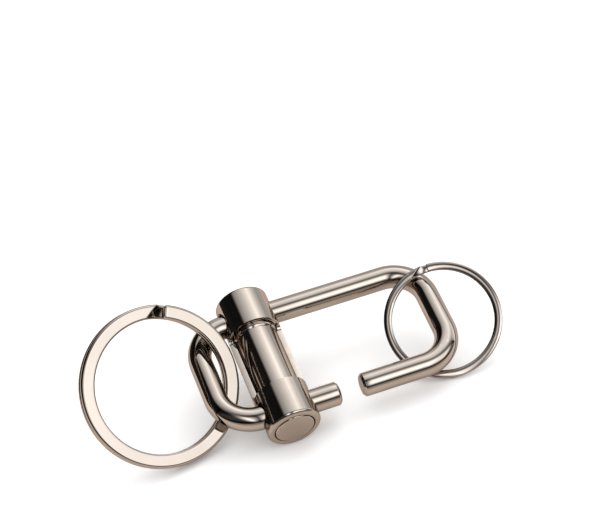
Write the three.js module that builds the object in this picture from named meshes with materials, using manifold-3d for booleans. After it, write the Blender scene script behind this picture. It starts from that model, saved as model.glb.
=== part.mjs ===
// A shackle key holder: a bent round bar with a gap, a barrel that slides along both of its arms to
// close that gap, a spring-loaded push button in the barrel, and two split rings on the bar's ends.
// Millimetres, +Z up. The bar lies flat. X runs along its arms, from the large ring to the small one,
// and Y runs along the barrel, from the push button at -Y to the end plug at +Y.
// The pieces are built about the barrel's axis, halfway between the arms, and then moved along Y so
// that the origin is the centre of the push button's face. The barrel stands at the end of its slide
// that leaves the gap open.
import * as THREE from "three";
import { mergeVertices } from "three/addons/utils/BufferGeometryUtils.js";
import Module from "manifold-3d";

// The bent bar.
const BAR_RADIUS = 2.5;
const ARM_SPACING = 23.8;
const BEND_RADIUS = 7.4;
const LEFT_END_X = -12.8;
const RIGHT_END_X = 37.8;
const STUB_END_X = 11.4;
const ARM_END_X = 16.3;
const BAR_CHAMFER = 0.5;

// The barrel that slides on it.
const BARREL_RADIUS = 5.75;
const BARREL_HALF_LENGTH = 16.7;
const RIM_RADIUS = 0.75;
const BORE_RADIUS = 4.95;
const WALL_BORE_RADIUS = 4.62;
const WALL_START_Y = -7.6;
const WALL_END_Y = 6.9;
const BUTTON_WALL = 1.0;
const BUTTON_HOLE_RADIUS = 4.38;
const ARM_HOLE_RADIUS = 3.0;
const WINDOW_HALF_LENGTH = 7.85;
const WINDOW_FLOOR_Z = 0.3;
const WINDOW_CORNER = 1.2;

// The plunger inside the barrel, with the button on its near end.
const BUTTON_RADIUS = 4.2;
const BUTTON_PROUD = 0.15;
const NEAR_HEAD_RADIUS = 4.55;
const HEAD_RADIUS = 4.8;
const WAIST_RADIUS = 4.45;
const NEAR_HEAD_END_Y = -8.6;
const FAR_HEAD_START_Y = 6.7;
const SHOULDER_RADIUS = 1.2;
const PLUNGER_END_Y = 14.2;
const PRESS_TRAVEL = 1.2;
const ARM_GAP = 0.3;
const SLOT_HALF_HEIGHT = 2.8;

// The spring in the plunger's waist, and the plug behind the plunger.
const SPRING_BORE_RADIUS = 3.3;
const SPRING_BORE_START_Y = -5.2;
const SPRING_MEAN_RADIUS = 2.5;
const SPRING_WIRE_RADIUS = 0.32;
const SPRING_TURNS = 6;
const PLUG_THICKNESS = 1.1;
const PLUG_GAP = 0.15;

// The split rings: two turns of flat wire, each ring tilted as it lies on the bar.
const LARGE_RING = {
  name: "large_split_ring",
  radius: 16.77,
  wireWidth: 2.9,
  thickness: 3.0,
  corner: 0.45,
  stepAngle: 76,
  centre: [-22.9, 1.1, 2.5],
  tiltX: 33,
  tiltY: 11.3,
  colour: 0xb9b0a6,
};
const SMALL_RING = {
  name: "small_split_ring",
  radius: 12.48,
  wireWidth: 1.7,
  thickness: 1.3,
  corner: 0.22,
  stepAngle: 82,
  centre: [38.5, -2.6, -0.1],
  tiltX: 20.5,
  tiltY: -13.7,
  colour: 0x8f8580,
};
const TURN_GAP = 0.14;
const STEP_LENGTH = 5.0;
const STEPS_PER_TURN = 48;

const wasm = await Module();
wasm.setup();

// A closed geometry as a solid that can be cut and joined.
function solid(geometry) {
  const bare = geometry.clone();
  bare.deleteAttribute("normal");
  bare.deleteAttribute("uv");
  const merged = mergeVertices(bare, 1e-4);
  return new wasm.Manifold(
    new wasm.Mesh({
      numProp: 3,
      vertProperties: merged.attributes.position.array,
      triVerts: new Uint32Array(merged.index.array),
    }),
  );
}

// A solid back as a geometry.
function geometryOf(made) {
  const mesh = made.getMesh();
  const geometry = new THREE.BufferGeometry();
  geometry.setAttribute("position", new THREE.BufferAttribute(mesh.vertProperties, 3));
  geometry.setIndex(new THREE.BufferAttribute(mesh.triVerts, 1));
  geometry.computeVertexNormals();
  return geometry;
}

// A solid turned on the barrel's axis, from pairs of radius and Y.
function turned(profile, sides = 48) {
  return solid(new THREE.LatheGeometry(profile.map(([r, y]) => new THREE.Vector2(r, y)), sides));
}

// The points of a quarter-circle corner about (r, y), between two angles in degrees.
function corner(r, y, radius, from, to, steps = 4) {
  const points = [];
  for (let i = 0; i <= steps; i++) {
    const a = THREE.MathUtils.degToRad(from + ((to - from) * i) / steps);
    points.push([r + radius * Math.cos(a), y + radius * Math.sin(a)]);
  }
  return points;
}

// A bar that runs right through the barrel along X, from an outline in the YZ plane.
function through(outline, curveSegments) {
  const length = 4 * BARREL_RADIUS;
  const geometry = new THREE.ExtrudeGeometry(outline, {
    depth: length,
    bevelEnabled: false,
    curveSegments,
  });
  geometry.translate(0, 0, -length / 2);
  geometry.rotateX(Math.PI / 2);
  geometry.rotateZ(Math.PI / 2);
  return solid(geometry);
}

// A rectangle with rounded corners, about (x, y).
function roundedRectangle(x, y, width, height, radius) {
  const [w, h] = [width / 2, height / 2];
  const shape = new THREE.Shape();
  shape.absarc(x + w - radius, y - h + radius, radius, -Math.PI / 2, 0, false);
  shape.absarc(x + w - radius, y + h - radius, radius, 0, Math.PI / 2, false);
  shape.absarc(x - w + radius, y + h - radius, radius, Math.PI / 2, Math.PI, false);
  shape.absarc(x - w + radius, y - h + radius, radius, Math.PI, 1.5 * Math.PI, false);
  shape.closePath();
  return shape;
}

// The bar's centre line: straights of one step, and bends of several, in the order they are bent.
class BarLine extends THREE.Curve {
  constructor() {
    super();
    this.parts = [];
    this.at = new THREE.Vector3(ARM_END_X, -ARM_SPACING / 2, 0);
    this.heading = 0;
    const straightRight = RIGHT_END_X - BEND_RADIUS;
    const straightLeft = LEFT_END_X + BEND_RADIUS;
    const endRun = ARM_SPACING - 2 * BEND_RADIUS;
    this.straight(straightRight - ARM_END_X);
    this.bend();
    this.straight(endRun);
    this.bend();
    this.straight(straightRight - straightLeft);
    this.bend();
    this.straight(endRun);
    this.bend();
    this.straight(STUB_END_X - straightLeft);
    this.steps = this.parts.length;
  }

  // A straight of the given length from where the line has got to.
  straight(length) {
    const start = this.at.clone();
    const along = new THREE.Vector3(Math.cos(this.heading), Math.sin(this.heading), 0);
    this.parts.push((t) => start.clone().addScaledVector(along, length * t));
    this.at = this.parts.at(-1)(1);
  }

  // A quarter turn to the left, in eight steps.
  bend(steps = 8) {
    const aside = new THREE.Vector3(-Math.sin(this.heading), Math.cos(this.heading), 0);
    const centre = this.at.clone().addScaledVector(aside, BEND_RADIUS);
    const first = this.heading - Math.PI / 2;
    for (let i = 0; i < steps; i++) {
      this.parts.push((t) => {
        const a = first + ((i + t) * Math.PI) / 2 / steps;
        return new THREE.Vector3(Math.cos(a), Math.sin(a), 0).multiplyScalar(BEND_RADIUS).add(centre);
      });
    }
    this.at = this.parts.at(-1)(1);
    this.heading += Math.PI / 2;
  }

  getPoint(t) {
    const place = Math.min(t, 1) * this.parts.length;
    const index = Math.min(Math.floor(place), this.parts.length - 1);
    return this.parts[index](place - index);
  }

  // The stations are used as they are, closer together round the bends.
  getUtoTmapping(u) {
    return u;
  }
}

// A ring cutter that leaves a chamfer on a bar end at x, whose face points along +X or -X.
function endChamfer(x, facing) {
  const [outer, over] = [BAR_RADIUS + 1, 1];
  const profile = [
    [BAR_RADIUS - BAR_CHAMFER - over, over],
    [outer, -BAR_CHAMFER - (outer - BAR_RADIUS)],
    [outer, over],
    [BAR_RADIUS - BAR_CHAMFER - over, over],
  ];
  const geometry = new THREE.LatheGeometry(profile.map(([r, y]) => new THREE.Vector2(r, y)), 24);
  geometry.rotateZ((-facing * Math.PI) / 2);
  geometry.translate(x, -ARM_SPACING / 2, 0);
  return solid(geometry);
}

// The bent bar, with both ends chamfered.
function shackleBar() {
  const line = new BarLine();
  const section = new THREE.Shape().absarc(0, 0, BAR_RADIUS, 0, 2 * Math.PI, false);
  const swept = new THREE.ExtrudeGeometry(section, {
    steps: line.steps,
    bevelEnabled: false,
    extrudePath: line,
    curveSegments: 12,
  });
  const bar = solid(swept).subtract(endChamfer(ARM_END_X, -1)).subtract(endChamfer(STUB_END_X, 1));
  return geometryOf(bar);
}

// The barrel's body: a tube with rounded rims, a button hole, two arm holes and a window on top.
function barrelHousing() {
  const [end, rim] = [BARREL_HALF_LENGTH, RIM_RADIUS];
  const shell = turned([
    [BUTTON_HOLE_RADIUS, -end],
    ...corner(BARREL_RADIUS - rim, -end + rim, rim, -90, 0),
    ...corner(BARREL_RADIUS - rim, end - rim, rim, 0, 60),
    [BORE_RADIUS, end - 0.1],
    [BORE_RADIUS, WALL_END_Y],
    [WALL_BORE_RADIUS, WALL_END_Y],
    [WALL_BORE_RADIUS, WALL_START_Y],
    [BORE_RADIUS, WALL_START_Y],
    [BORE_RADIUS, -end + BUTTON_WALL],
    [BUTTON_HOLE_RADIUS, -end + BUTTON_WALL],
    [BUTTON_HOLE_RADIUS, -end],
  ]);
  const top = 2 * BARREL_RADIUS;
  const height = top - WINDOW_FLOOR_Z;
  const middle = WINDOW_FLOOR_Z + height / 2;
  const window = roundedRectangle(0, middle, 2 * WINDOW_HALF_LENGTH, height, WINDOW_CORNER);
  let body = shell.subtract(through(window, 2));
  for (const side of [-1, 1]) {
    const hole = new THREE.Shape().absarc((side * ARM_SPACING) / 2, 0, ARM_HOLE_RADIUS, 0, 2 * Math.PI, false);
    body = body.subtract(through(hole, 14));
  }
  return geometryOf(body);
}

// The plunger: button, near head, waist and far head in one. The near arm passes through a slot in it,
// and the far end is forked round the far arm.
function plunger() {
  const face = -BARREL_HALF_LENGTH - BUTTON_PROUD;
  const shoulder = -BARREL_HALF_LENGTH + BUTTON_WALL + 0.2;
  const edge = 0.3;
  const reach = Math.acos((WAIST_RADIUS - HEAD_RADIUS + SHOULDER_RADIUS) / SHOULDER_RADIUS);
  const shoulderY = FAR_HEAD_START_Y + SHOULDER_RADIUS * Math.sin(reach);
  const body = turned([
    [0, face],
    ...corner(BUTTON_RADIUS - edge, face + edge, edge, -90, 0, 2),
    [BUTTON_RADIUS, shoulder],
    [NEAR_HEAD_RADIUS, shoulder],
    [NEAR_HEAD_RADIUS, NEAR_HEAD_END_Y],
    [WAIST_RADIUS, NEAR_HEAD_END_Y],
    [WAIST_RADIUS, FAR_HEAD_START_Y],
    ...corner(HEAD_RADIUS - SHOULDER_RADIUS, shoulderY, SHOULDER_RADIUS, -THREE.MathUtils.radToDeg(reach), 0),
    [HEAD_RADIUS, PLUNGER_END_Y],
    [0, PLUNGER_END_Y],
  ]);
  const bore = turned([
    [0, SPRING_BORE_START_Y],
    [SPRING_BORE_RADIUS, SPRING_BORE_START_Y],
    [SPRING_BORE_RADIUS, ARM_SPACING / 2],
    [0, ARM_SPACING / 2],
  ], 24);
  let made = body.subtract(bore);
  const length = 2 * (BAR_RADIUS + ARM_GAP) + PRESS_TRAVEL;
  for (const side of [-1, 1]) {
    const middle = (side * ARM_SPACING) / 2 - PRESS_TRAVEL / 2;
    const slot = roundedRectangle(middle, 0, length, 2 * SLOT_HALF_HEIGHT, SLOT_HALF_HEIGHT - 0.01);
    made = made.subtract(through(slot, 4));
  }
  return geometryOf(made);
}

// The coil spring's centre line, along Y.
class SpringLine extends THREE.Curve {
  getPoint(t) {
    const start = SPRING_BORE_START_Y + ARM_GAP + SPRING_WIRE_RADIUS;
    const end = ARM_SPACING / 2 - BAR_RADIUS - ARM_GAP - SPRING_WIRE_RADIUS;
    const a = 2 * Math.PI * SPRING_TURNS * t;
    const y = start + (end - start) * t;
    return new THREE.Vector3(SPRING_MEAN_RADIUS * Math.cos(a), y, -SPRING_MEAN_RADIUS * Math.sin(a));
  }
}

// The return spring, between the bottom of the plunger's bore and the far arm.
function returnSpring() {
  const section = new THREE.Shape().absarc(0, 0, SPRING_WIRE_RADIUS, 0, 2 * Math.PI, false);
  return new THREE.ExtrudeGeometry(section, {
    steps: SPRING_TURNS * 12,
    bevelEnabled: false,
    extrudePath: new SpringLine(),
    curveSegments: 3,
  });
}

// The plug that closes the barrel's far end.
function endPlug() {
  const outer = BARREL_HALF_LENGTH;
  const radius = BORE_RADIUS - PLUG_GAP;
  const edge = 0.25;
  return geometryOf(turned([
    [0, outer - PLUG_THICKNESS],
    [radius, outer - PLUG_THICKNESS],
    ...corner(radius - edge, outer - edge, edge, 0, 90, 2),
    [0, outer],
  ]));
}

// The centre line of a split ring's wire, about Z: one turn on top, a step down, and one turn below.
class RingLine extends THREE.Curve {
  constructor(ring) {
    super();
    this.middle = ring.radius - ring.wireWidth / 2;
    this.start = THREE.MathUtils.degToRad(ring.stepAngle);
    this.step = STEP_LENGTH / ring.radius;
    this.lift = (ring.thickness + TURN_GAP) / 4;
    this.sweep = 4 * Math.PI - this.step;
    this.steps = 2 * STEPS_PER_TURN;
  }

  // How far round the wire has gone, clockwise as seen from above.
  turnedBy(t) {
    return this.sweep * t;
  }

  getPoint(t) {
    const gone = this.turnedBy(t);
    const down = THREE.MathUtils.smoothstep(gone, 2 * Math.PI - this.step, 2 * Math.PI);
    const a = this.start - gone;
    const z = this.lift * (1 - 2 * down);
    return new THREE.Vector3(this.middle * Math.cos(a), this.middle * Math.sin(a), z);
  }

  getUtoTmapping(u) {
    return u;
  }

  // The wire's flat side stays level all the way round, the step included.
  computeFrenetFrames(segments) {
    const frames = { tangents: [], normals: [], binormals: [] };
    for (let i = 0; i <= segments; i++) {
      const a = this.start - this.turnedBy(i / segments);
      frames.tangents.push(new THREE.Vector3(Math.sin(a), -Math.cos(a), 0));
      frames.normals.push(new THREE.Vector3(0, 0, -1));
      frames.binormals.push(new THREE.Vector3(Math.cos(a), Math.sin(a), 0));
    }
    return frames;
  }
}

// A split ring, about its own Z axis.
function splitRing(ring) {
  const line = new RingLine(ring);
  const wireHeight = (ring.thickness - TURN_GAP) / 2;
  const section = roundedRectangle(0, 0, wireHeight, ring.wireWidth, ring.corner);
  return new THREE.ExtrudeGeometry(section, {
    steps: line.steps,
    bevelEnabled: false,
    extrudePath: line,
    curveSegments: 1,
  });
}

function piece(name, geometry, colour, roughness) {
  const material = new THREE.MeshStandardMaterial({ color: colour, roughness, metalness: 1.0 });
  const mesh = new THREE.Mesh(geometry, material);
  mesh.name = name;
  return mesh;
}

const GUN_METAL = 0x8c8580;
const SPRING_STEEL = 0xa9aaac;

const holder = new THREE.Group();
holder.add(piece("shackle_bar", shackleBar(), GUN_METAL, 0.12));

const barrel = new THREE.Group();
barrel.add(piece("barrel_housing", barrelHousing(), GUN_METAL, 0.12));
barrel.add(piece("barrel_end_plug", endPlug(), GUN_METAL, 0.15));
barrel.add(piece("push_button_plunger", plunger(), GUN_METAL, 0.14));
barrel.add(piece("return_spring", returnSpring(), SPRING_STEEL, 0.3));
holder.add(barrel);

for (const ring of [LARGE_RING, SMALL_RING]) {
  const mesh = piece(ring.name, splitRing(ring), ring.colour, 0.15);
  mesh.rotation.set(
    THREE.MathUtils.degToRad(ring.tiltX),
    THREE.MathUtils.degToRad(ring.tiltY),
    0,
    "YXZ",
  );
  mesh.position.set(...ring.centre);
  holder.add(mesh);
}

holder.position.y = BARREL_HALF_LENGTH + BUTTON_PROUD;
const part = new THREE.Group();
part.add(holder);

export default part;
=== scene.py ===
"""A shackle key holder: a bent round bar, a barrel with a push button that slides on it, and two split rings.

Every piece is rebuilt here with a finer mesh than its CAD node, at the same sizes and places. The rings
also show a slanted step between their turns, and the small ring has crowned faces.
Lengths in the constants below are millimetres. They become metres where a mesh is made.
"""
import math

import bmesh
import bpy
from mathutils import Matrix, Vector


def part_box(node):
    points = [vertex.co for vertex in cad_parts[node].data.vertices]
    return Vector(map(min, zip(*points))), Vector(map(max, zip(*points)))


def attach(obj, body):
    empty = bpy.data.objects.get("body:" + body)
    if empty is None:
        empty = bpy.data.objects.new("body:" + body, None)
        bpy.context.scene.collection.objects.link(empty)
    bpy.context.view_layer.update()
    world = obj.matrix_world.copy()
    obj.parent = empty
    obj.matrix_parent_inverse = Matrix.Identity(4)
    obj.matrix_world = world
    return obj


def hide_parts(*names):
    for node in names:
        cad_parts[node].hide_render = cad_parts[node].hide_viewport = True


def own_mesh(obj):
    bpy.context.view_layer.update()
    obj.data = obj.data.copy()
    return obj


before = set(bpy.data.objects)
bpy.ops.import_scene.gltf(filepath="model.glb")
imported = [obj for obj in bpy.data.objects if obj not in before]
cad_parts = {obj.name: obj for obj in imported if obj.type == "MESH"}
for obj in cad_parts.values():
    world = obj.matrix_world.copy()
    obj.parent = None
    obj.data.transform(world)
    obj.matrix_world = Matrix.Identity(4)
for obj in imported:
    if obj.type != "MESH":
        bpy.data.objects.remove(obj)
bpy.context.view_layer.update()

MM = 0.001

# Where the button's face and the barrel's middle are. All the other places are measured from that middle.
BUTTON_FACE_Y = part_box("push_button_plunger")[0].y / MM
BARREL_HALF_LENGTH = 16.7
BUTTON_PROUD = 0.15
MID_Y = BUTTON_FACE_Y + BARREL_HALF_LENGTH + BUTTON_PROUD

# The bent bar.
BAR_RADIUS = 2.5
ARM_SPACING = 23.8
BEND_RADIUS = 7.4
LEFT_END_X = -12.8
RIGHT_END_X = 37.8
STUB_END_X = 11.4
ARM_END_X = 16.3
BAR_CHAMFER = 0.5
# The rounding on either side of an end chamfer, and the radius of the disc in the middle of an end face.
BAR_EDGE = 0.05
BAR_END_DISC = 1.2

# The barrel and what is in it.
BARREL_RADIUS = 5.75
RIM_RADIUS = 0.75
BORE_RADIUS = 4.95
WALL_BORE_RADIUS = 4.62
WALL_START_Y = -7.6
WALL_END_Y = 6.9
BUTTON_WALL = 1.0
BUTTON_HOLE_RADIUS = 4.38
HOLE_LIP = 0.12
END_RIM_SWEEP = 62
MOUTH_CHAMFER = (0.08, 0.1)
EDGE_BREAK = 0.16
ARM_HOLE_RADIUS = 3.0
WINDOW_HALF_LENGTH = 7.85
WINDOW_FLOOR_Z = 0.3
WINDOW_CORNER = 1.2
BUTTON_RADIUS = 4.2
BUTTON_EDGE = 0.3
SHOULDER_GAP = 0.2
FACE_RINGS = (1.2, 2.6)
NEAR_HEAD_RADIUS = 4.55
HEAD_RADIUS = 4.8
WAIST_RADIUS = 4.45
NEAR_HEAD_END_Y = -8.6
FAR_HEAD_START_Y = 6.7
PLUNGER_END_Y = 14.2
PRESS_TRAVEL = 1.2
ARM_GAP = 0.3
SLOT_HALF_HEIGHT = 2.8
SLOT_END_RADIUS = 2.79
SHOULDER_RADIUS = 1.2
SPRING_BORE_RADIUS = 3.3
SPRING_BORE_START_Y = -5.2
SPRING_MEAN_RADIUS = 2.5
SPRING_WIRE_RADIUS = 0.32
SPRING_TURNS = 6
PLUG_THICKNESS = 1.1
PLUG_GAP = 0.15
PLUG_EDGE = 0.25
PLUG_RINGS = (3.0, 1.2)

# The split rings: outside radius, wire width, height of both turns, the wire's outer and inner corners,
# how far its faces are crowned, the angle of the step, the centre, and the tilt.
LARGE_RING = dict(radius=16.77, width=2.9, thickness=3.0, outer=0.62, inner=0.42, crown=0.0, step_angle=76,
                  centre=(-22.9, 1.1, 2.5), tilt_x=33, tilt_y=11.3)
SMALL_RING = dict(radius=12.48, width=1.7, thickness=1.3, outer=0.2, inner=0.2, crown=0.17, step_angle=82,
                  centre=(38.5, -2.6, -0.1), tilt_x=20.5, tilt_y=-13.7)
TURN_GAP = 0.14
# The step: its length, how much of that the outer edge stays level for, how softly the wire starts down it,
# and the angle in radians by which it is down before the first turn's end.
STEP_LENGTH = 5.0
STEP_SLANT = 0.68
STEP_EASE = 0.12
STEP_CLEAR = 0.004
CROWN_STEPS = 8

scene = bpy.context.scene


# ---------------------------------------------------------------- meshes

def new_object(name, bm, sharp_deg=28.0):
    """A bmesh in millimetres about the barrel's middle as an object in the row frame."""
    bmesh.ops.remove_doubles(bm, verts=bm.verts, dist=1e-5)
    bmesh.ops.recalc_face_normals(bm, faces=bm.faces)
    mesh = bpy.data.meshes.new(name)
    bm.to_mesh(mesh)
    bm.free()
    mesh.transform(Matrix.Scale(MM, 4) @ Matrix.Translation((0, MID_Y, 0)))
    for polygon in mesh.polygons:
        polygon.use_smooth = True
    mesh.set_sharp_from_angle(angle=math.radians(sharp_deg))
    made = bpy.data.objects.new(name, mesh)
    scene.collection.objects.link(made)
    return made


def skin(bm, rings):
    """Faces between successive rings of points, with fans over both ends."""
    made = [[bm.verts.new(p) for p in ring] for ring in rings]
    count = len(made[0])
    for a, b in zip(made, made[1:]):
        for i in range(count):
            j = (i + 1) % count
            bm.faces.new((a[i], a[j], b[j], b[i]))
    for ring in (made[0], made[-1]):
        middle = bm.verts.new(sum((v.co for v in ring), Vector()) / count)
        for i in range(count):
            bm.faces.new((ring[i], ring[(i + 1) % count], middle))


def lathe(profile, sides):
    """A solid turned on the Y axis from (radius, y) points that start and end on the axis or form a loop."""
    bm = bmesh.new()
    columns = []
    for r, y in profile:
        if r < 1e-6:
            columns.append([bm.verts.new((0, y, 0))])
        else:
            columns.append([bm.verts.new((r * math.sin(2 * math.pi * i / sides), y,
                                          r * math.cos(2 * math.pi * i / sides))) for i in range(sides)])
    for a, b in zip(columns, columns[1:]):
        for i in range(sides):
            j = (i + 1) % sides
            corners = [a[i % len(a)], a[j % len(a)], b[j % len(b)], b[i % len(b)]]
            corners = [v for k, v in enumerate(corners) if v not in corners[:k]]
            if len(corners) > 2:
                bm.faces.new(corners)
    return bm


def arc(r, y, radius, start, end, steps):
    """Points on a circle about (r, y), between two angles in degrees."""
    angles = [math.radians(start + (end - start) * i / steps) for i in range(steps + 1)]
    return [(r + radius * math.cos(a), y + radius * math.sin(a)) for a in angles]


def prism(outline, half):
    """A prism along X from an outline of (y, z) points."""
    bm = bmesh.new()
    for x in (-half, half):
        for y, z in outline:
            bm.verts.new((x, y, z))
    bm.verts.ensure_lookup_table()
    n = len(outline)
    v = bm.verts
    for i in range(n):
        j = (i + 1) % n
        bm.faces.new((v[i], v[j], v[n + j], v[n + i]))
    bm.faces.new([v[i] for i in range(n)])
    bm.faces.new([v[n + i] for i in range(n)])
    return bm


def rounded_outline(y, z, width, height, radius, steps):
    """The outline of a rectangle with rounded corners about (y, z)."""
    w, h = width / 2 - radius, height / 2 - radius
    points = []
    for k, (sy, sz) in enumerate(((1, -1), (1, 1), (-1, 1), (-1, -1))):
        points += arc(y + sy * w, z + sz * h, radius, 90 * k - 90, 90 * k, steps)
    return points


def circle_outline(y, z, radius, steps):
    """The outline of a circle about (y, z)."""
    return [(y + radius * math.cos(2 * math.pi * i / steps), z + radius * math.sin(2 * math.pi * i / steps))
            for i in range(steps)]


def cut(target, cutters):
    """Subtracts the cutters from the target's mesh and removes them."""
    for cutter in cutters:
        modifier = target.modifiers.new("cut", "BOOLEAN")
        modifier.operation = "DIFFERENCE"
        modifier.solver = "EXACT"
        modifier.object = cutter
    bpy.context.view_layer.update()
    evaluated = target.evaluated_get(bpy.context.evaluated_depsgraph_get())
    mesh = bpy.data.meshes.new_from_object(evaluated)
    target.modifiers.clear()
    target.data = mesh
    for cutter in cutters:
        bpy.data.objects.remove(cutter)


def chamfer_cut_edges(target, picked, width):
    """Breaks the sharp edges left by a cut with a narrow two-step bevel."""
    bm = bmesh.new()
    bm.from_mesh(target.data)
    edges = [e for e in bm.edges if len(e.link_faces) == 2
             and e.calc_face_angle(0) > math.radians(30) and picked(e)]
    bmesh.ops.bevel(bm, geom=edges, offset=width * MM, segments=2, profile=0.5, affect="EDGES",
                    clamp_overlap=True, offset_type="WIDTH")
    bm.to_mesh(target.data)
    bm.free()


def turned_normals(target, radii, sharp_deg=28.0):
    """Gives every corner that lies on one of the turned cylinders that cylinder's exact normal."""
    mesh = target.data
    for polygon in mesh.polygons:
        polygon.use_smooth = True
    mesh.set_sharp_from_angle(angle=math.radians(sharp_deg))
    normals = [Vector(c.vector) for c in mesh.corner_normals]
    for polygon in mesh.polygons:
        for loop in polygon.loop_indices:
            co = mesh.vertices[mesh.loops[loop].vertex_index].co
            out = Vector((co.x, 0, co.z))
            r = out.length / MM
            if r < 1:
                continue
            out.normalize()
            facing = polygon.normal.dot(out)
            if abs(facing) > 0.995 and any(abs(r - known) < 0.02 for known in radii):
                normals[loop] = out if facing > 0 else -out
    mesh.normals_split_custom_set(normals)


class Line:
    """The bar's centre line: its points and headings, closer together round the bends."""

    def __init__(self):
        self.stations = []
        self.at = Vector((ARM_END_X, -ARM_SPACING / 2, 0))
        self.heading = 0.0
        right = RIGHT_END_X - BEND_RADIUS
        left = LEFT_END_X + BEND_RADIUS
        end_run = ARM_SPACING - 2 * BEND_RADIUS
        self.straight(right - ARM_END_X, first=True)
        self.bend()
        self.straight(end_run)
        self.bend()
        self.straight(right - left)
        self.bend()
        self.straight(end_run)
        self.bend()
        self.straight(STUB_END_X - left)

    def straight(self, length, first=False):
        """A straight run, with a station about every 2 mm."""
        along = Vector((math.cos(self.heading), math.sin(self.heading), 0))
        steps = max(3, int(length / 2))
        for i in range(0 if first else 1, steps + 1):
            self.stations.append((self.at + along * (length * i / steps), self.heading))
        self.at = self.at + along * length

    def bend(self, steps=40):
        """A quarter turn to the left."""
        aside = Vector((-math.sin(self.heading), math.cos(self.heading), 0))
        centre = self.at + aside * BEND_RADIUS
        start = self.heading
        for i in range(1, steps + 1):
            heading = start + math.pi / 2 * i / steps
            out = Vector((math.sin(heading), -math.cos(heading), 0))
            self.stations.append((centre + out * BEND_RADIUS, heading))
        self.at = self.stations[-1][0].copy()
        self.heading = start + math.pi / 2


def bar_ring(centre, heading, radius, sides):
    """A circle of points square to the bar's heading."""
    aside = Vector((math.sin(heading), -math.cos(heading), 0))
    up = Vector((0, 0, 1))
    return [centre + aside * (radius * math.cos(2 * math.pi * i / sides))
            + up * (radius * math.sin(2 * math.pi * i / sides)) for i in range(sides)]


def bent_bar(sides=96):
    """The bar: a round section carried along its line, with a chamfer at each end."""
    stations = Line().stations
    end_shape = [(0.0, BAR_END_DISC), (0.0, BAR_RADIUS - BAR_CHAMFER - BAR_EDGE),
                 (0.4 * BAR_EDGE, BAR_RADIUS - BAR_CHAMFER + 0.4 * BAR_EDGE),
                 (BAR_CHAMFER - BAR_EDGE, BAR_RADIUS - BAR_EDGE), (BAR_CHAMFER, BAR_RADIUS - 0.3 * BAR_EDGE),
                 (BAR_CHAMFER + 1.6 * BAR_EDGE, BAR_RADIUS)]
    rings = []
    start, heading = stations[0]
    along = Vector((math.cos(heading), math.sin(heading), 0))
    rings += [bar_ring(start + along * d, heading, r, sides) for d, r in end_shape]
    rings += [bar_ring(p, h, BAR_RADIUS, sides) for p, h in stations[1:-1]]
    end, heading = stations[-1]
    along = Vector((math.cos(heading), math.sin(heading), 0))
    rings += [bar_ring(end - along * d, heading, r, sides) for d, r in reversed(end_shape)]
    bm = bmesh.new()
    skin(bm, rings)
    return new_object("bent_bar", bm)


def outer_edge(edge):
    """True for a cut edge on the barrel's outside, between its rims."""
    limit = BARREL_HALF_LENGTH - RIM_RADIUS - 0.01
    return all(abs(math.hypot(v.co.x, v.co.z) / MM - BARREL_RADIUS) < 0.02
               and abs(v.co.y / MM - MID_Y) < limit for v in edge.verts)


def barrel_body(sides=240):
    """The barrel's tube, with the window and the two cross holes cut in it."""
    end, rim, lip = BARREL_HALF_LENGTH, RIM_RADIUS, HOLE_LIP
    profile = [(BUTTON_HOLE_RADIUS, -end + lip)]
    profile += arc(BUTTON_HOLE_RADIUS + lip, -end + lip, lip, 180, 270, 4)
    profile += arc(BARREL_RADIUS - rim, -end + rim, rim, -90, 0, 14)
    profile += arc(BARREL_RADIUS - rim, end - rim, rim, 0, END_RIM_SWEEP, 10)
    flare, depth = MOUTH_CHAMFER
    profile += [(BORE_RADIUS + flare, end - depth), (BORE_RADIUS, end - 2 * depth), (BORE_RADIUS, WALL_END_Y),
                (WALL_BORE_RADIUS, WALL_END_Y), (WALL_BORE_RADIUS, WALL_START_Y),
                (BORE_RADIUS, WALL_START_Y), (BORE_RADIUS, -end + BUTTON_WALL),
                (BUTTON_HOLE_RADIUS, -end + BUTTON_WALL), (BUTTON_HOLE_RADIUS, -end + lip)]
    body = new_object("barrel_body", lathe(profile, sides))
    top = 2 * BARREL_RADIUS
    height = top - WINDOW_FLOOR_Z
    window = rounded_outline(0, WINDOW_FLOOR_Z + height / 2, 2 * WINDOW_HALF_LENGTH, height, WINDOW_CORNER, 16)
    cutters = [new_object("window_cutter", prism(window, top))]
    for side in (-1, 1):
        hole = circle_outline(side * ARM_SPACING / 2, 0, ARM_HOLE_RADIUS, 96)
        cutters.append(new_object("hole_cutter", prism(hole, top)))
    cut(body, cutters)
    chamfer_cut_edges(body, outer_edge, EDGE_BREAK)
    turned_normals(body, (BARREL_RADIUS, BORE_RADIUS, WALL_BORE_RADIUS))
    return body


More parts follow.
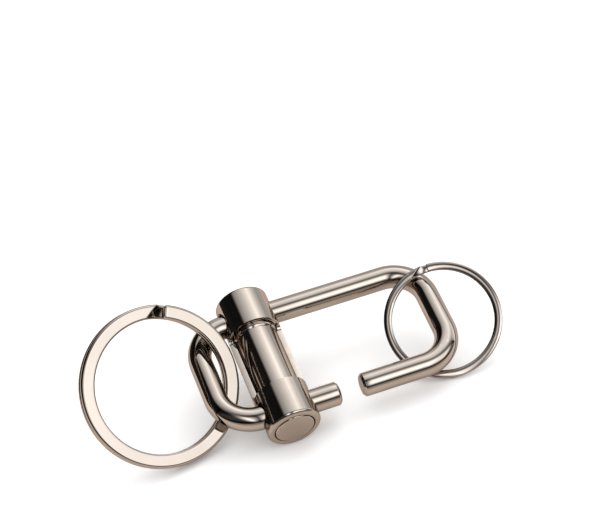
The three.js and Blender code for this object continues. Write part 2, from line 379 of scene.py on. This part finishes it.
def plunger_body(sides=192):
    """The button and its plunger in one, bored for the spring and slotted for both arms of the bar."""
    face = -BARREL_HALF_LENGTH - BUTTON_PROUD
    shoulder = -BARREL_HALF_LENGTH + BUTTON_WALL + SHOULDER_GAP
    edge = BUTTON_EDGE
    profile = [(0, face), *((r, face) for r in FACE_RINGS), (BUTTON_RADIUS - edge - 0.05, face)]
    profile += arc(BUTTON_RADIUS - edge, face + edge, edge, -90, 0, 8)
    profile += [(BUTTON_RADIUS, shoulder), (NEAR_HEAD_RADIUS, shoulder), (NEAR_HEAD_RADIUS, NEAR_HEAD_END_Y)]
    profile += [(WAIST_RADIUS, NEAR_HEAD_END_Y), (WAIST_RADIUS, FAR_HEAD_START_Y)]
    reach = math.degrees(math.acos((WAIST_RADIUS - HEAD_RADIUS + SHOULDER_RADIUS) / SHOULDER_RADIUS))
    shoulder_y = FAR_HEAD_START_Y + SHOULDER_RADIUS * math.sin(math.radians(reach))
    profile += arc(HEAD_RADIUS - SHOULDER_RADIUS, shoulder_y, SHOULDER_RADIUS, -reach, 0, 12)
    profile += [(HEAD_RADIUS, PLUNGER_END_Y), (0, PLUNGER_END_Y)]
    body = new_object("button_plunger", lathe(profile, sides))
    bore = [(0, SPRING_BORE_START_Y), (SPRING_BORE_RADIUS, SPRING_BORE_START_Y),
            (SPRING_BORE_RADIUS, ARM_SPACING / 2), (0, ARM_SPACING / 2)]
    cutters = [new_object("bore_cutter", lathe(bore, 96))]
    length = 2 * (BAR_RADIUS + ARM_GAP) + PRESS_TRAVEL
    for side in (-1, 1):
        middle = side * ARM_SPACING / 2 - PRESS_TRAVEL / 2
        slot = rounded_outline(middle, 0, length, 2 * SLOT_HALF_HEIGHT, SLOT_END_RADIUS, 20)
        cutters.append(new_object("slot_cutter", prism(slot, 2 * BARREL_RADIUS)))
    cut(body, cutters)
    turned_normals(body, (WAIST_RADIUS, NEAR_HEAD_RADIUS, HEAD_RADIUS, BUTTON_RADIUS, SPRING_BORE_RADIUS))
    return body


def end_plug(sides=160):
    """The disc that closes the barrel's far end."""
    outer = BARREL_HALF_LENGTH
    radius = BORE_RADIUS - PLUG_GAP
    edge = PLUG_EDGE
    profile = [(0, outer - PLUG_THICKNESS), (radius, outer - PLUG_THICKNESS)]
    profile += arc(radius - edge, outer - edge, edge, 0, 90, 6)
    profile += [*((r, outer) for r in PLUG_RINGS), (0, outer)]
    return new_object("end_plug", lathe(profile, sides))


def coil_spring(steps_per_turn=40, sides=14):
    """The return spring, between the plunger's bore and the far arm of the bar."""
    start = SPRING_BORE_START_Y + ARM_GAP + SPRING_WIRE_RADIUS
    end = ARM_SPACING / 2 - BAR_RADIUS - ARM_GAP - SPRING_WIRE_RADIUS
    rings = []
    steps = SPRING_TURNS * steps_per_turn
    for i in range(steps + 1):
        t = i / steps
        a = 2 * math.pi * SPRING_TURNS * t
        out = Vector((math.cos(a), 0, -math.sin(a)))
        middle = out * SPRING_MEAN_RADIUS + Vector((0, start + (end - start) * t, 0))
        angles = [2 * math.pi * k / sides for k in range(sides)]
        rings.append([middle + out * (SPRING_WIRE_RADIUS * math.cos(k))
                      + Vector((0, SPRING_WIRE_RADIUS * math.sin(k), 0)) for k in angles])
    bm = bmesh.new()
    skin(bm, rings)
    return new_object("coil_spring", bm)


def wire_section(ring, height):
    """The wire's outline as (radial, up) points: rounded corners, and faces that fall off towards them."""
    points = []
    half_width = ring["width"] / 2
    for k, (sr, sz) in enumerate(((1, -1), (1, 1), (-1, 1), (-1, -1))):
        radius = ring["outer"] if sr > 0 else ring["inner"]
        points += arc(sr * (half_width - radius), sz * (height / 2 - radius), radius, 90 * k - 90, 90 * k, 8)
        if k in (1, 3):
            reach = half_width - max(ring["outer"], ring["inner"]) - 0.02
            points += [(sr * reach * (1 - i / CROWN_STEPS), sz * height / 2)
                       for i in range(2 * CROWN_STEPS + 1)]
    return [(r, z * (1 - ring["crown"] * 2 / height * (r / half_width) ** 2)) for r, z in points]


def split_ring(name, ring, steps_per_turn=320):
    """Two turns of flat wire, one on the other, with a slanted step from the first turn to the second."""
    middle = ring["radius"] - ring["width"] / 2
    start = math.radians(ring["step_angle"])
    step = STEP_LENGTH / ring["radius"]
    lift = (ring["thickness"] + TURN_GAP) / 4
    height = (ring["thickness"] - TURN_GAP) / 2
    sweep = 4 * math.pi - step
    steps = 2 * steps_per_turn
    section = wire_section(ring, height)
    place = (Matrix.Translation(ring["centre"])
             @ Matrix.Rotation(math.radians(ring["tilt_y"]), 4, "Y")
             @ Matrix.Rotation(math.radians(ring["tilt_x"]), 4, "X"))
    half_width, half_height = ring["width"] / 2, height / 2

    def station(gone, inset=0.0):
        """The wire's section at an angle gone round; the inner edge starts down the step before the outer."""
        a = start - gone
        points = []
        for r, z in section:
            share = (r + half_width) / ring["width"]
            begin = 2 * math.pi - step * (1.0 - STEP_SLANT * share)
            passed = min(max((gone - begin) / (2 * math.pi - STEP_CLEAR - begin), 0), 1)
            eased = passed * passed * (1 + STEP_EASE) / (passed + STEP_EASE)
            down = 1 - (1 - eased) ** 2
            radial = middle + r * (1 - inset / half_width)
            high = lift * (1 - 2 * down) + z * (1 - 0.5 * inset / half_height)
            points.append(place @ Vector((radial * math.cos(a), radial * math.sin(a), high)))
        return points

    nose = ring["outer"]
    ends = [(nose * (1 - math.cos(math.radians(t))), nose * (1 - math.sin(math.radians(t))))
            for t in (0, 8, 18, 32, 48, 68, 90)]
    stops = set(sweep * i / steps for i in range(steps + 1))
    stops |= set(2 * math.pi - 1.1 * step + 1.15 * step * i / 120 for i in range(121))
    reach = nose / middle
    rings = [station(d / middle, inset) for d, inset in ends]
    rings += [station(gone) for gone in sorted(stops) if reach * 1.02 < gone < sweep - reach * 1.02]
    rings += [station(sweep - d / middle, inset) for d, inset in reversed(ends)]
    bm = bmesh.new()
    skin(bm, rings)
    return new_object(name, bm)


# ---------------------------------------------------------------- materials

class Nodes:
    """Short calls for building a node tree."""

    def __init__(self, tree):
        self.tree = tree
        tree.nodes.clear()

    def add(self, kind, **values):
        node = self.tree.nodes.new(kind)
        for key, value in values.items():
            setattr(node, key, value)
        return node

    def link(self, out, into):
        self.tree.links.new(out, into)

    def feed(self, value, socket):
        if isinstance(value, bpy.types.NodeSocket):
            self.link(value, socket)
        else:
            socket.default_value = value

    def math(self, operation, a, b=0.0, c=None):
        node = self.add("ShaderNodeMath", operation=operation)
        self.feed(a, node.inputs[0])
        self.feed(b, node.inputs[1])
        if c is not None:
            self.feed(c, node.inputs[2])
        return node.outputs[0]

    def ramp(self, value, stops):
        """A grey that runs through (place, brightness) stops."""
        node = self.add("ShaderNodeValToRGB")
        elements = node.color_ramp.elements
        while len(elements) < len(stops):
            elements.new(0.5)
        for element, (place, grey) in zip(elements, stops):
            element.position = place
            element.color = (grey, grey, grey, 1)
        self.feed(value, node.inputs["Fac"])
        return node.outputs["Color"]

    def remap(self, value, low, high, to_low, to_high):
        """The value, eased from one range to another."""
        node = self.add("ShaderNodeMapRange", interpolation_type="SMOOTHSTEP")
        self.feed(value, node.inputs["Value"])
        node.inputs["From Min"].default_value = low
        node.inputs["From Max"].default_value = high
        node.inputs["To Min"].default_value = to_low
        node.inputs["To Max"].default_value = to_high
        return node.outputs["Result"]

    def noise(self, vector, scale, detail, stretch=None, turn=None):
        """Noise, stretched and turned where both are given."""
        if stretch:
            mapping = self.add("ShaderNodeMapping")
            self.link(vector, mapping.inputs["Vector"])
            mapping.inputs["Scale"].default_value = stretch
            mapping.inputs["Rotation"].default_value = turn
            vector = mapping.outputs["Vector"]
        node = self.add("ShaderNodeTexNoise")
        self.link(vector, node.inputs["Vector"])
        node.inputs["Scale"].default_value = scale
        node.inputs["Detail"].default_value = detail
        return node.outputs["Fac"]

    def mix(self, fac, a, b):
        """Two colours mixed. The node's sockets are found by type, because its kinds share their names."""
        node = self.add("ShaderNodeMix", data_type="RGBA")
        self.feed(fac, next(s for s in node.inputs if s.name == "Factor" and s.type == "VALUE"))
        sockets = [s for s in node.inputs if s.type == "RGBA"]
        for value, socket in zip((a, b), sockets):
            self.feed((*value, 1) if isinstance(value, tuple) else value, socket)
        return next(s for s in node.outputs if s.type == "RGBA")


EDGE_TINT = (0.62, 0.58, 0.55, 1.0)
SCRATCH_DEPTH = 0.00000006
GRAIN_SCALE = 9000.0


def plated_metal(name, dark, light, roughness, wear, grain_axis=None, grain=0.0, ripple=0.0):
    """Polished plate: a cloudy tone, fine scratches, smudges, and brighter worn edges.

    grain_axis is the number of the axis a piece was turned about, or "face" for lines round the middle of an
    end face. grain is the depth of those lines and ripple the waviness under the plate, in millimetres.
    """
    material = bpy.data.materials.new(name)
    material.use_nodes = True
    n = Nodes(material.node_tree)
    output = n.add("ShaderNodeOutputMaterial")
    shader = n.add("ShaderNodeBsdfPrincipled")
    n.link(shader.outputs[0], output.inputs["Surface"])
    shader.inputs["Metallic"].default_value = 1.0
    shader.inputs["Specular Tint"].default_value = EDGE_TINT
    place = n.add("ShaderNodeTexCoord").outputs["Object"]

    cloud = n.noise(place, 90.0, 4.0)
    speck = n.noise(place, 2600.0, 2.0)
    clouded = n.remap(cloud, 0.3, 0.7, 0.0, 0.82)
    tone = n.math("MULTIPLY_ADD", n.remap(speck, 0.35, 0.7, 0.0, 1.0), 0.18, clouded)
    plate = n.mix(tone, dark, light)
    edge = n.remap(n.add("ShaderNodeNewGeometry").outputs["Pointiness"], 0.52, 0.60, 0.0, 1.0)
    rubbed = n.math("MULTIPLY", edge, n.remap(n.noise(place, 700.0, 3.0), 0.35, 0.65, 0.25, 1.0))
    worn = tuple(min(1.0, c * 1.35 + 0.05) for c in light)
    coat = n.mix(n.math("MULTIPLY", rubbed, wear), plate, worn)
    n.link(coat, shader.inputs["Base Color"])

    scratches = []
    for scale, stretch, turn in ((900.0, (1, 18, 1), (0.3, 0.2, 0.5)), (1100.0, (16, 1, 1), (0.1, 0.7, -0.4)),
                                 (1000.0, (1, 1, 22), (0.6, -0.3, 0.2))):
        scratches.append(n.remap(n.noise(place, scale, 1.0, stretch, turn), 0.66, 0.74, 0.0, 1.0))
    scratched = n.math("MAXIMUM", n.math("MAXIMUM", scratches[0], scratches[1]), scratches[2])
    smudge = n.remap(n.noise(place, 160.0, 5.0), 0.45, 0.72, 0.0, 1.0)
    rough = n.math("MULTIPLY_ADD", smudge, roughness * 0.6, roughness)
    rough = n.math("MULTIPLY_ADD", scratched, 0.05, rough)
    rough = n.math("MULTIPLY_ADD", rubbed, 0.05 * wear, rough)
    n.link(rough, shader.inputs["Roughness"])

    height = n.math("MULTIPLY", scratched, -SCRATCH_DEPTH)
    if ripple:
        height = n.math("MULTIPLY_ADD", n.noise(place, 220.0, 2.0), ripple * MM, height)
    if grain_axis is not None:
        split = n.add("ShaderNodeSeparateXYZ")
        n.link(place, split.inputs[0])
        if grain_axis == "face":
            x, z = split.outputs[0], split.outputs[2]
            along = n.math("SQRT", n.math("ADD", n.math("MULTIPLY", x, x), n.math("MULTIPLY", z, z)))
        else:
            along = split.outputs[grain_axis]
        line = n.add("ShaderNodeTexNoise", noise_dimensions="1D")
        n.link(along, line.inputs["W"])
        line.inputs["Scale"].default_value = GRAIN_SCALE
        line.inputs["Detail"].default_value = 2.0
        height = n.math("MULTIPLY_ADD", line.outputs["Fac"], grain * MM, height)
    bump = n.add("ShaderNodeBump")
    bump.inputs["Strength"].default_value = 1.0
    bump.inputs["Distance"].default_value = 1.0
    n.link(height, bump.inputs["Height"])
    n.link(bump.outputs["Normal"], shader.inputs["Normal"])
    return material


def finish_piece(piece, material, body, node):
    """Gives a piece its material and its body, and hides the CAD node that it stands for."""
    piece.data.materials.clear()
    piece.data.materials.append(material)
    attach(piece, body)
    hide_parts(node)


GUN_DARK, GUN_LIGHT = (0.37, 0.315, 0.27), (0.41, 0.355, 0.31)
bar_plate = plated_metal("bar_plate", GUN_DARK, GUN_LIGHT, 0.02, 0.25, ripple=0.0003)
barrel_plate = plated_metal("barrel_plate", GUN_DARK, GUN_LIGHT, 0.02, 0.35, grain_axis=1, grain=0.00001)
button_plate = plated_metal("button_plate", (0.38, 0.32, 0.275), (0.43, 0.37, 0.32), 0.05, 0.4,
                            grain_axis="face", grain=0.00005)
large_plate = plated_metal("large_ring_plate", (0.345, 0.295, 0.255), (0.375, 0.325, 0.282), 0.025, 0.3,
                           ripple=0.0004)
small_plate = plated_metal("small_ring_plate", (0.36, 0.31, 0.275), (0.42, 0.365, 0.325), 0.04, 0.45,
                           ripple=0.0004)
spring_wire = plated_metal("spring_wire", (0.5, 0.5, 0.5), (0.6, 0.6, 0.6), 0.18, 0.2)

bar = bent_bar()
finish_piece(bar, bar_plate, "shackle", "shackle_bar")
barrel = barrel_body()
finish_piece(barrel, barrel_plate, "barrel", "barrel_housing")
plug = end_plug()
finish_piece(plug, button_plate, "barrel", "barrel_end_plug")
plunger = plunger_body()
finish_piece(plunger, button_plate, "button", "push_button_plunger")
spring = coil_spring()
finish_piece(spring, spring_wire, "barrel", "return_spring")
large_ring = split_ring("large_ring", LARGE_RING)
finish_piece(large_ring, large_plate, "large_ring", "large_split_ring")
small_ring = split_ring("small_ring", SMALL_RING)
finish_piece(small_ring, small_plate, "small_ring", "small_split_ring")

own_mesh(spring)


# ---------------------------------------------------------------- floor, camera and light

def resting_plane():
    """The plane the holder rests on: it touches the barrel and both rings from below."""
    normal = Vector((0, 0, 1))
    points = []
    for _ in range(8):
        points = [min((v.co for v in piece.data.vertices), key=normal.dot).copy()
                  for piece in (large_ring, small_ring, barrel)]
        normal = (points[1] - points[0]).cross(points[2] - points[0]).normalized()
        if normal.z < 0:
            normal = -normal
    return points[0], normal


touch, level = resting_plane()
FLOOR_HALF_SIZE = 3.0
floor_mesh = bpy.data.meshes.new("floor")
floor_bm = bmesh.new()
bmesh.ops.create_grid(floor_bm, x_segments=2, y_segments=2, size=FLOOR_HALF_SIZE)
floor_bm.to_mesh(floor_mesh)
floor_bm.free()
floor = bpy.data.objects.new("floor", floor_mesh)
scene.collection.objects.link(floor)
floor.rotation_mode = "QUATERNION"
floor.rotation_quaternion = Vector((0, 0, 1)).rotation_difference(level)
floor.location = level * touch.dot(level)

# White paper. In reflections it is warmer, and painted shade darkens it towards the near side, standing in for
# the light falling off there.
PAPER, PAPER_GLOW = (0.97, 0.97, 0.97), (0.93, 0.85, 0.79)
# Where the painted shade on the paper starts and ends, and how dark it gets at the near side.
PAINTED_SHADE_START, PAINTED_SHADE_END, PAINTED_SHADE_LEVEL = -0.042, 0.002, 0.36
paper = bpy.data.materials.new("paper")
paper.use_nodes = True
n = Nodes(paper.node_tree)
paper_out = n.add("ShaderNodeOutputMaterial")
paper_shader = n.add("ShaderNodeBsdfDiffuse")
n.link(paper_shader.outputs[0], paper_out.inputs["Surface"])
spot = n.add("ShaderNodeSeparateXYZ")
n.link(n.add("ShaderNodeTexCoord").outputs["Object"], spot.inputs[0])
# Painted shade: the paper as reflections see it gets darker towards the near side.
painted_shade = n.remap(spot.outputs["Y"], PAINTED_SHADE_START, PAINTED_SHADE_END, PAINTED_SHADE_LEVEL, 1.0)
seen = n.add("ShaderNodeLightPath").outputs["Is Camera Ray"]
paper_in_reflections = n.mix(painted_shade, (0.0, 0.0, 0.0), PAPER_GLOW)
n.link(n.mix(seen, paper_in_reflections, PAPER), paper_shader.inputs["Color"])
floor.data.materials.append(paper)

# The camera, which looks down on the holder from the near side and a little from the left.
AZIMUTH, ELEVATION, ROLL = (math.radians(a) for a in (-19.807, 53.493, -0.895))
DISTANCE, TRACK_RIGHT, TRACK_UP = 403.3, 6.822, 20.664
LENS, SENSOR_WIDTH = 116.63, 36.0
back = Vector((math.sin(AZIMUTH) * math.cos(ELEVATION), -math.cos(AZIMUTH) * math.cos(ELEVATION),
               math.sin(ELEVATION)))
right = Vector((math.cos(AZIMUTH), math.sin(AZIMUTH), 0))
up = back.cross(right)
view_right = right * math.cos(ROLL) + up * math.sin(ROLL)
view_up = up * math.cos(ROLL) - right * math.sin(ROLL)
camera_data = bpy.data.cameras.new("camera")
camera_data.sensor_fit = "HORIZONTAL"
camera_data.sensor_width = SENSOR_WIDTH
camera_data.lens = LENS
camera_data.clip_start = 0.01
camera_data.clip_end = 20.0
camera = bpy.data.objects.new("camera", camera_data)
scene.collection.objects.link(camera)
eye = view_right * TRACK_RIGHT + view_up * TRACK_UP + back * DISTANCE + Vector((0, MID_Y, 0))
turn = Matrix((view_right, view_up, back)).transposed().to_4x4()
camera.matrix_world = Matrix.Translation(eye * MM) @ turn
scene.camera = camera

# The studio. Reflections see two softboxes with a gap between them, dark cards on the left, and the dark room
# behind the camera. Everything else gets even white light. Angles are degrees from straight up.
MIRROR_TINT = (0.97, 1.0, 1.03, 1.0)
EVEN_LIGHT = 1.32
world = bpy.data.worlds.new("studio")
scene.world = world
world.use_nodes = True
n = Nodes(world.node_tree)
world_out = n.add("ShaderNodeOutputWorld")
direction = n.add("ShaderNodeSeparateXYZ")
n.link(n.add("ShaderNodeTexCoord").outputs["Generated"], direction.inputs[0])
toward = n.math("ARCTAN2", n.math("MULTIPLY", direction.outputs["Y"], -1.0), direction.outputs["Z"])
aside = n.math("ARCTAN2", direction.outputs["X"], direction.outputs["Z"])


def by_angle(angle, stops, strongest):
    """A brightness that runs through (degrees, brightness) stops."""
    fac = n.math("MULTIPLY_ADD", angle, 1 / (2 * math.pi), 0.5)
    grey = n.ramp(fac, [(0.5 + a / 360, v / strongest) for a, v in stops])
    return n.math("MULTIPLY", grey, strongest)


far_box = by_angle(toward, [(-90, 0.60), (-72, 0.58), (-62, 0.80), (-49, 1.5), (-40, 1.4), (-32, 1.25),
                            (-22, 1.1), (-14, 0.75), (-5, 0.18)], 1.5)
far_sides = by_angle(aside, [(-90, 0.04), (-64, 0.012), (-38, 0.008), (-33, 0.04), (-26, 0.45), (4, 1.12),
                             (26, 1.7), (34, 1.95), (42, 1.6), (56, 0.98), (90, 1.6)], 1.95)
near_box = by_angle(toward, [(-5, 0.38), (4, 0.55), (14, 2.3), (21, 3.2), (40, 3.2), (47, 1.9), (56, 0.32),
                             (64, 0.06), (78, 0.1), (92, 0.16)], 3.2)
near_sides = by_angle(aside, [(-90, 0.02), (-30, 0.03), (-22, 0.3), (-13, 1.0), (-6, 0.4), (2, 0.04),
                              (12, 0.85), (17, 1.0), (25, 0.93), (36, 0.72), (56, 0.68), (66, 0.10),
                              (90, 0.08)], 1.0)
far_light = n.math("MULTIPLY", far_box, far_sides)
near_light = n.math("MULTIPLY", near_box, near_sides)
near_share = n.remap(toward, math.radians(-8), math.radians(-2), 0.0, 1.0)
reflected = n.math("ADD", n.math("MULTIPLY", far_light, n.math("SUBTRACT", 1.0, near_share)),
                   n.math("MULTIPLY", near_light, near_share))
mirror = n.add("ShaderNodeBackground")
mirror.inputs["Color"].default_value = MIRROR_TINT
n.link(reflected, mirror.inputs["Strength"])
even = n.add("ShaderNodeBackground")
even.inputs["Color"].default_value = (1.0, 1.0, 1.0, 1.0)
even.inputs["Strength"].default_value = EVEN_LIGHT
choose = n.add("ShaderNodeMixShader")
n.link(n.add("ShaderNodeLightPath").outputs["Is Glossy Ray"], choose.inputs[0])
n.link(even.outputs[0], choose.inputs[1])
n.link(mirror.outputs[0], choose.inputs[2])
n.link(choose.outputs[0], world_out.inputs["Surface"])

# One soft lamp, far up on the right, for faint shadows. Its place and size are metres.
LAMP_SIZE, LAMP_POWER, LAMP_FROM = 0.35, 0.5, Vector((0.30, 0.42, 0.62))
lamp_data = bpy.data.lights.new("key_light", "AREA")
lamp_data.shape = "DISK"
lamp_data.size = LAMP_SIZE
lamp_data.energy = LAMP_POWER
lamp = bpy.data.objects.new("key_light", lamp_data)
scene.collection.objects.link(lamp)
lamp.location = LAMP_FROM
lamp.rotation_mode = "QUATERNION"
lamp.rotation_quaternion = LAMP_FROM.to_track_quat("Z", "Y")
lamp.visible_glossy = False

scene.view_settings.view_transform = "Standard"
scene.view_settings.look = "None"
